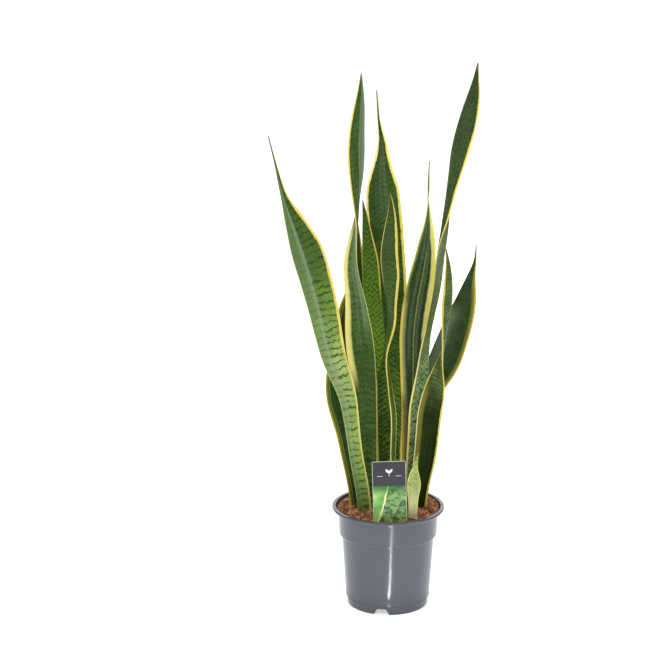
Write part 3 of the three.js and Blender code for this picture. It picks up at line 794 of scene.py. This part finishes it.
def make_pot():
    profile = pot_profile()
    around = np.linspace(0, 2 * math.pi, POT_SEGMENTS, endpoint=False)
    vertices = [(*polar(r, a), z) for r, z in profile[1:-1] for a in around]
    vertices += [(0, 0, profile[0][1]), (0, 0, profile[-1][1])]
    faces = closed_faces(len(profile) - 2, POT_SEGMENTS)
    pot = add_object("nursery_pot", vertices, faces, pot_material(), "pot")
    half_foot, half_top = NOTCH_HALVES
    height, corner = NOTCHES["height"], NOTCH_CORNER
    right = [
        (half_foot, -1 * MM), (half_top + corner, height - corner), (half_top - 0.5 * MM, height)
    ]
    outline = [(-half_foot, -1 * MM), *right, *((-x, z) for x, z in right[:0:-1])]
    notch = prism(outline, NOTCHES["depth"])
    count = NOTCHES["count"]
    turns = [math.radians(NOTCHES["first"] + 360 / count * i) for i in range(count)]
    inset = Matrix.Translation((0, BAND - NOTCHES["inset"], 0))
    cut(pot, notch, [Matrix.Rotation(turn - math.pi / 2, 4, "Z") @ inset for turn in turns])
    angles, radius = np.linspace(0, 2 * math.pi, 24, endpoint=False), DRAINS["radius"]
    hole = prism([polar(radius, a) for a in angles], 2 * FLOOR_TOP)
    upright = Matrix.Rotation(-math.pi / 2, 4, "X")
    spots = []
    for i in range(DRAINS["count"]):
        angle = 2 * math.pi * (i + 0.5) / DRAINS["count"]
        place = (*polar(DRAINS["circle"], angle), 2 * FLOOR_TOP)
        spots.append(Matrix.Translation(place) @ upright)
    cut(pot, hole, spots)
    pot.data.set_sharp_from_angle(angle=math.radians(35))


make_pot()

# ---- soil

SOIL_RINGS = 60
SOIL_AROUND = 200
SOIL_EDGE_DROP = 1.2 * MM
RELIEF = [(17 * MM, 2.0, 1.7), (4.5 * MM, 9.0, 2.0), (1.7 * MM, 5.0, 0.8)]  # size, layer, height
HEAP_START, HEAP_RISE = 62 * MM, 6 * MM  # the compost climbs a little towards the wall
CHIPS = 1500
LONG_CHIPS = 0.35  # the share of chips that are splinters
FIBRES = 420
FIBRE_SIDES = 5


def soil_plane():
    """The plane that best fits the CAD compost's top edge: height, slope in x and in y."""
    places = np.array([v.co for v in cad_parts["soil"].data.vertices], float)
    reach = np.hypot(places[:, 0], places[:, 1])
    rim = places[reach > 0.985 * reach.max()]
    terms = np.stack([np.ones(len(rim)), rim[:, 0], rim[:, 1]], axis=1)
    return np.linalg.lstsq(terms, rim[:, 2], rcond=None)[0]


SOIL_PLANE = soil_plane()


def soil_height(x, y):
    """Height of the compost with its clods and crumbs."""
    height = SOIL_PLANE[0] + SOIL_PLANE[1] * x + SOIL_PLANE[2] * y
    for size, layer, rise in RELIEF:
        height += noise.noise(Vector((x / size, y / size, layer))) * rise * MM
    return height + max(0.0, math.hypot(x, y) / HEAP_START - 1) * HEAP_RISE


def coir_material(name, dark, light, lift=0.0):
    """Coconut coir and bark: reddish brown, dry and rough, with pale and dark crumbs."""
    g = Graph(name)
    place = g.node("TexCoord").outputs["Object"]
    tone = g.attribute("tone").outputs["Fac"]
    cloud = g.noise(place, 90.0, 4.0, 0.6)
    grit = g.noise(place, 700.0, 3.0, 0.6)
    mixed = g.add(g.scaled(g.step(cloud, 0.3, 0.7), 0.45), g.scaled(tone, 0.6), lift)
    colour, _ = g.ramp(mixed, [(0, dark), (0.5, (146, 88, 54)), (1, light)])
    specks = g.step(grit, 0.3, 0.48)
    colour = g.mix(g.minus(1.0, specks), colour, (40, 22, 14))
    g.bump(g.add(grit, g.scaled(cloud, 0.5)), 0.5 * MM, 0.8)
    return g.finish(colour, 0.9)


def make_soil():
    low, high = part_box("soil")
    gap = 0.5 * MM
    places = np.array([v.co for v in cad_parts["soil"].data.vertices], float)
    top_radius = np.hypot(places[:, 0], places[:, 1]).max() + 1.3 * MM
    inset = WALL + gap
    band_inner = BAND - inset - 1 * MM
    side = [
        (band_inner, low.z), (band_inner, BAND_HEIGHT), (BODY_TOP - inset, LEDGE - 1 * MM),
        (COLLAR_FOOT - inset, LEDGE + 6 * MM), (COLLAR_TOP - inset - gap, SOIL_PLANE[0] - 8 * MM),
    ]
    angles = np.linspace(0, 2 * math.pi, SOIL_AROUND, endpoint=False)
    vertices = [(*polar(r, a), z) for r, z in side for a in angles]
    pot_low, pot_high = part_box("pot")
    lip_foot = pot_high.z - LIP_DEPTH
    wall_heights = (lip_foot - FLARE_DEPTH - 1 * MM, lip_foot)
    wall_radii = (COLLAR_TOP - WALL, (pot_high.y - pot_low.y) / 2 - LIP_WIDTH - 0.6 * MM)
    for i in range(SOIL_RINGS):
        radius = top_radius * (1 - i / SOIL_RINGS)
        drop = SOIL_EDGE_DROP if i == 0 else 0
        for a in angles:
            z = soil_height(*polar(radius, a)) - drop
            reach = min(radius, float(np.interp(z, wall_heights, wall_radii)) - 0.4 * MM)
            vertices.append((*polar(reach, a), z))
    vertices += [(0, 0, low.z), (0, 0, soil_height(0, 0))]
    faces = closed_faces(len(side) + SOIL_RINGS, SOIL_AROUND)
    material = coir_material("coir", (56, 29, 19), (184, 116, 72), 0.1)
    soil = add_object("compost", vertices, faces, material, "soil")
    set_values(soil, "tone", np.full(len(vertices), 0.4))
    return top_radius


soil_radius = make_soil()


def chip_shape():
    """A rough lump of 12 corners and 20 faces."""
    shape = bmesh.new()
    bmesh.ops.create_icosphere(shape, subdivisions=1, radius=1)
    corners = np.array([v.co for v in shape.verts], float)
    faces = [[v.index for v in f.verts] for f in shape.faces]
    shape.free()
    return corners, faces


def make_chips():
    """Bark and husk crumbs lying on the compost."""
    random = np.random.default_rng(SEED)
    corners, faces = chip_shape()
    vertices, made_faces, tones = [], [], []
    for _ in range(CHIPS):
        angle = random.uniform(0, 2 * math.pi)
        radius = (soil_radius - 3 * MM) * math.sqrt(random.uniform(0, 1))
        x, y = polar(radius, angle)
        size = random.uniform(0.9, 3.4) * MM
        if random.uniform() < LONG_CHIPS:
            stretch = np.array([random.uniform(1.8, 3.2), 0.45, 0.35])
        else:
            stretch = np.array([1.2, random.uniform(0.6, 1.0), random.uniform(0.3, 0.6)])
        lump = corners * (1 + random.uniform(-0.25, 0.25, corners.shape)) * size * stretch
        spin, tilt = random.uniform(0, math.pi), random.normal(0, 0.35)
        lump = lump @ np.array(Matrix.Rotation(spin, 3, "Z") @ Matrix.Rotation(tilt, 3, "Y")).T
        lump += (x, y, soil_height(x, y) + size * stretch[2] * 0.5)
        if np.hypot(lump[:, 0], lump[:, 1]).max() > soil_radius - 2 * MM:
            continue
        base = len(vertices)
        vertices.extend(lump)
        made_faces.extend([[base + i for i in face] for face in faces])
        tones.extend([random.uniform(-0.3, 1.1)] * len(lump))
    material = coir_material("bark_chip", (58, 30, 20), (236, 178, 122), 0.08)
    chips = add_object("coir_chips", vertices, made_faces, material, smooth=False)
    set_values(chips, "tone", tones)


def make_fibres():
    """Thin curly coir fibres on the compost, thickest on the right."""
    random = np.random.default_rng(SEED + 1)
    sides = FIBRE_SIDES
    vertices, faces, tones = [], [], []
    for _ in range(FIBRES):
        angle = random.uniform(0, 2 * math.pi)
        radius = (soil_radius - 5 * MM) * math.sqrt(random.uniform(0, 1))
        x, y = polar(radius, angle)
        right = (x / soil_radius + 1) / 2
        length = random.uniform(10, 22 + 26 * right) * MM
        steps = max(8, int(length / (1.6 * MM)))
        heading = random.uniform(0, 2 * math.pi)
        bend = random.normal(0, 0.12)
        arch = random.uniform(0.4, 1.0 + 3.0 * right) * MM
        path = []
        for i in range(steps):
            rise = arch * math.sin(math.pi * i / (steps - 1))
            path.append((x, y, soil_height(x, y) + 0.5 * MM + rise))
            heading += bend + random.normal(0, 0.16)
            x += math.cos(heading) * length / steps
            y += math.sin(heading) * length / steps
            if math.hypot(x, y) > soil_radius - 3 * MM:
                heading += 1.2
        path = np.array(path)
        path = path[np.hypot(path[:, 0], path[:, 1]) < soil_radius - 1.5 * MM]
        if len(path) < 4:
            continue
        path[1:-1] = (path[:-2] + 2 * path[1:-1] + path[2:]) / 4
        thickness = random.uniform(0.15, 0.34) * MM
        way = np.gradient(path, axis=0)
        way /= np.linalg.norm(way, axis=1)[:, None]
        side_way = np.cross(way, (0, 0, 1))
        side_way /= np.linalg.norm(side_way, axis=1)[:, None]
        up = np.cross(side_way, way)
        base = len(vertices)
        for i, point in enumerate(path):
            size = thickness * (0.5 if i in (0, len(path) - 1) else 1.0)
            for k in range(sides):
                a = 2 * math.pi * k / sides
                vertices.append(point + size * (math.cos(a) * side_way[i] + math.sin(a) * up[i]))
        faces.extend([[base + i for i in face[::-1]] for face in grid_faces(len(path), sides)])
        faces.append([base + k for k in range(sides)])
        faces.append([base + (len(path) - 1) * sides + k for k in reversed(range(sides))])
        tones.extend([random.uniform(0.3, 1)] * (len(path) * sides))
    material = coir_material("coir_fibre", (120, 74, 46), (230, 186, 138), 0.16)
    fibres = add_object("coir_fibres", vertices, faces, material)
    set_values(fibres, "tone", tones)


make_chips()
make_fibres()

# ---- tag

TAG = {
    "bottom": 138 * MM, "width": 50 * MM, "height": 107 * MM, "thickness": 0.9 * MM,
    "stake": 16 * MM, "point": 12 * MM, "shoulder": 6 * MM, "corner": 2 * MM, "lean": 2,
}
TAG_HEADER = 38.5  # height of the dark header, in millimetres
PRINT = 0.12  # millimetres to either side over which a printed edge changes


def tag_material(width, height, header):
    """A laminated card: a dark header with a leaf mark, over a picture of a variegated leaf."""
    g = Graph("printed_card")
    card = g.split(g.attribute("card").outputs["Vector"])
    x, z, front = card[0], card[1], card[2]
    place = g.vector(x, z, 0.0)

    def disc(cx, cz, radius):
        dx, dz = g.minus(x, cx), g.minus(z, cz)
        distance = g.math("SQRT", g.add(g.scaled(dx, dx), g.scaled(dz, dz)))
        return g.minus(1.0, g.step(distance, radius - PRINT, radius + PRINT))

    # The picture: a cream margin runs up to the right, with mottled leaf beyond it.
    slant = g.minus(x, g.add(-width / 2 + 3.0, g.scaled(z, 0.27)))
    slant = g.add(slant, g.scaled(g.minus(g.noise(place, 0.05, 1.0), 0.5), 6.0))
    behind, _ = g.ramp(g.noise(place, 0.045, 1.0), [(0.3, (66, 150, 62)), (0.7, (168, 206, 120))])
    top_shade = g.step(z, height - header - 18, height - header)
    warped = g.vector(g.add(x, g.scaled(g.noise(place, 0.15, 2.0), 9.0)), g.scaled(z, 1.4), 3.0)
    marks = g.step(g.noise(warped, 0.13, 2.0, 0.5), 0.48, 0.56)
    shine = g.noise(g.vector(g.scaled(x, 0.2), g.scaled(z, 0.05), 8.0), 1.0, 2.0)
    leaf, _ = g.ramp(shine, [(0.3, (98, 142, 72)), (0.7, (146, 180, 118))])
    leaf = g.mix(g.scaled(marks, 0.85), leaf, (44, 86, 46))
    picture = g.mix(g.step(slant, 0.0, 0.8), behind, (232, 232, 160))
    picture = g.mix(g.step(slant, 2.2, 3.4), picture, leaf)
    picture = g.mix(g.scaled(top_shade, 0.85), picture, (28, 96, 40))

    # The header: plain, with a two-leaf sprout between two short bars.
    base = height - header
    middle = base + header * 0.56
    left_leaf = g.scaled(disc(-5.4, middle - 1.2, 6.0), disc(0.8, middle + 4.2, 6.0))
    right_leaf = g.scaled(disc(5.4, middle - 1.2, 6.0), disc(-0.8, middle + 4.2, 6.0))
    stem = g.scaled(g.window(x, -0.35, 0.35, PRINT), g.window(z, middle - 6.5, middle, PRINT))
    far = g.math("ABSOLUTE", x)
    bar_height = g.window(z, middle - 6.4, middle - 5.8, PRINT)
    bars = g.scaled(g.window(far, 10.0, 18.0, PRINT), bar_height)
    sprout = g.math("MAXIMUM", g.math("MAXIMUM", left_leaf, right_leaf), stem)
    mark = g.math("MAXIMUM", sprout, bars)
    header_colour = g.mix(g.noise(place, 0.08, 2.0), (48, 46, 52), (56, 54, 61))
    header_colour = g.mix(mark, header_colour, (224, 224, 222))
    printed = g.mix(g.step(z, base - 0.2, base + 0.2), picture, header_colour)
    edge = g.math("MINIMUM", g.minus(width / 2, far), g.minus(height, z))
    printed = g.mix(g.step(edge, 0.75, 0.5), printed, (196, 198, 190))
    blank = g.mix(g.noise(place, 0.15, 3.0), (226, 226, 220), (212, 213, 208))
    colour = g.mix(front, blank, printed)
    stake = g.step(z, 0.4, 0.0)
    colour = g.mix(stake, colour, (224, 224, 216))
    fibres = g.noise(place, 1.6, 3.0)
    g.bump(fibres, 0.05 * MM, 0.4)
    return g.finish(colour, g.add(0.3, g.scaled(fibres, 0.12)), Specular_IOR_Level=0.25)


def make_tag():
    """The card, leaning slightly, on its pointed stake."""
    low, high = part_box("plant_tag")
    centre_y = (low.y + high.y) / 2
    lean = math.radians(TAG["lean"])
    half, height = TAG["width"] / 2, TAG["height"]
    stake, foot = TAG["stake"] / 2, TAG["bottom"] - low.z
    corner = TAG["corner"]
    reach = (half - corner) * math.cos(lean) + (height - corner) * math.sin(lean) + corner
    side = [
        (stake, TAG["point"] - foot), (stake, -1.5 * MM), (stake + 1.5 * MM, 0.3 * MM),
        (half, TAG["shoulder"]),
    ]
    outline = [
        *((-x, z) for x, z in reversed(side)), (0, -foot), *side,
        *arc(half - corner, height - corner, corner, 0, 90, 7),
        *arc(corner - half, height - corner, corner, 90, 180, 7),
    ]
    mesh = prism(outline, TAG["thickness"])
    vertices, faces = [v.co for v in mesh.vertices], [p.vertices for p in mesh.polygons]
    material = tag_material(TAG["width"] / MM, height / MM, TAG_HEADER)
    tag = add_object("picture_tag", vertices, faces, material, "plant_tag", smooth=False)
    bevel = tag.modifiers.new("edge", "BEVEL")
    bevel.width, bevel.segments = 0.2 * MM, 2
    apply_modifiers(tag)
    places = np.array([v.co for v in tag.data.vertices], float)
    facing = (places[:, 1] < TAG["thickness"] / 2).astype(float)
    set_values(tag, "card", np.stack([places[:, 0] / MM, places[:, 2] / MM, facing], axis=1))
    turn = Matrix.Rotation(-lean, 4, "Y")
    place = Matrix.Translation((low.x + reach, centre_y - TAG["thickness"] / 2, TAG["bottom"]))
    tag.data.transform(place @ turn)


make_tag()

# ---- rhizome


def rhizome_material():
    """Orange-buff skin with rings of papery scales."""
    g = Graph("rhizome_skin")
    place = g.node("TexCoord").outputs["Object"]
    cloud = g.noise(place, 60.0, 4.0, 0.6)
    wave = {"Vector": place, "Scale": 42.0, "Distortion": 5.0, "Detail": 3.0}
    rings = g.node("TexWave", wave, wave_type="BANDS", bands_direction="X").outputs["Fac"]
    stops = [(0.2, (140, 92, 48)), (0.5, (206, 152, 84)), (0.8, (228, 190, 128))]
    colour, _ = g.ramp(g.add(g.scaled(cloud, 0.7), g.scaled(rings, 0.3)), stops)
    g.bump(g.add(rings, cloud), 0.6 * MM, 0.7)
    return g.finish(colour, 0.6)


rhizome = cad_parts["rhizome"]
rhizome.data.materials.clear()
rhizome.data.materials.append(rhizome_material())
rhizome.data.polygons.foreach_set("use_smooth", [True] * len(rhizome.data.polygons))

# ---- floor, lights and camera

FLOOR_SIZE = 60.0
LIGHTS = [  # name, place, width, height, power
    ("key", (-2.4, -2.2, 2.6), 1.6, 1.6, 36),
    ("fill", (2.6, -1.8, 1.7), 1.4, 1.8, 18),
    ("top", (0.2, 0.6, 3.4), 2.0, 2.0, 42),
    ("back", (0, 3.0, 1.9), 3.0, 1.4, 26),
]
GLOW = {"place": (0.037, -0.37, 0.002), "size": (0.007, 0.52), "power": 0.4, "turn": 8}
WORLD_STRENGTH = 0.62


def floor_material():
    g = Graph("pale_floor")
    place = g.node("TexCoord").outputs["Object"]
    speckle = g.noise(place, 30.0, 2.0)
    colour = g.mix(speckle, (250, 250, 250), (252, 252, 252))
    return g.finish(colour, 0.9, Emission_Color=(1, 1, 1, 1), Emission_Strength=0.5)


def make_floor():
    half = FLOOR_SIZE / 2
    corners = [(-half, -half, 0), (half, -half, 0), (half, half, 0), (-half, half, 0)]
    mesh = bpy.data.meshes.new("floor")
    mesh.from_pydata(corners, [], [(0, 1, 2, 3)])
    mesh.materials.append(floor_material())
    new_object("floor", mesh)


def area_light(name, place, target, width, height, power):
    light = bpy.data.lights.new(name, "AREA")
    light.shape = "RECTANGLE"
    light.size, light.size_y = width, height
    light.energy = power
    made = new_object(name, light)
    made.location = place
    made.rotation_euler = (Vector(target) - Vector(place)).to_track_quat("-Z", "Y").to_euler()
    return made


def make_studio():
    scene = bpy.context.scene
    scene.view_settings.view_transform = "Standard"
    world = bpy.data.worlds.new("studio")
    world.use_nodes = True
    background = world.node_tree.nodes["Background"].inputs
    background["Color"].default_value = (1, 1, 1, 1)
    background["Strength"].default_value = WORLD_STRENGTH
    scene.world = world
    for name, place, width, height, power in LIGHTS:
        area_light(name, place, (0, 0, 0.4), width, height, power)
    # It draws the thin vertical highlight down the pot.
    x, y, z = GLOW["place"]
    glow = area_light("floor strip", (x, y, z), (x, y, 1), *GLOW["size"], GLOW["power"])
    glow.rotation_euler.z += math.radians(GLOW["turn"])
    glow.visible_camera = False


CAMERA = {"place": (-0.0996, -3.083, 1.255), "pitch": 14.8, "lens": 120, "sensor": 36}


def make_camera():
    camera = bpy.data.cameras.new("camera")
    camera.lens, camera.sensor_width = CAMERA["lens"], CAMERA["sensor"]
    camera.clip_end = 100
    made = new_object("camera", camera)
    made.location = CAMERA["place"]
    made.rotation_euler = (math.radians(90 - CAMERA["pitch"]), 0, 0)
    bpy.context.scene.camera = made


make_floor()
make_studio()
make_camera()

bpy.context.view_layer.update()
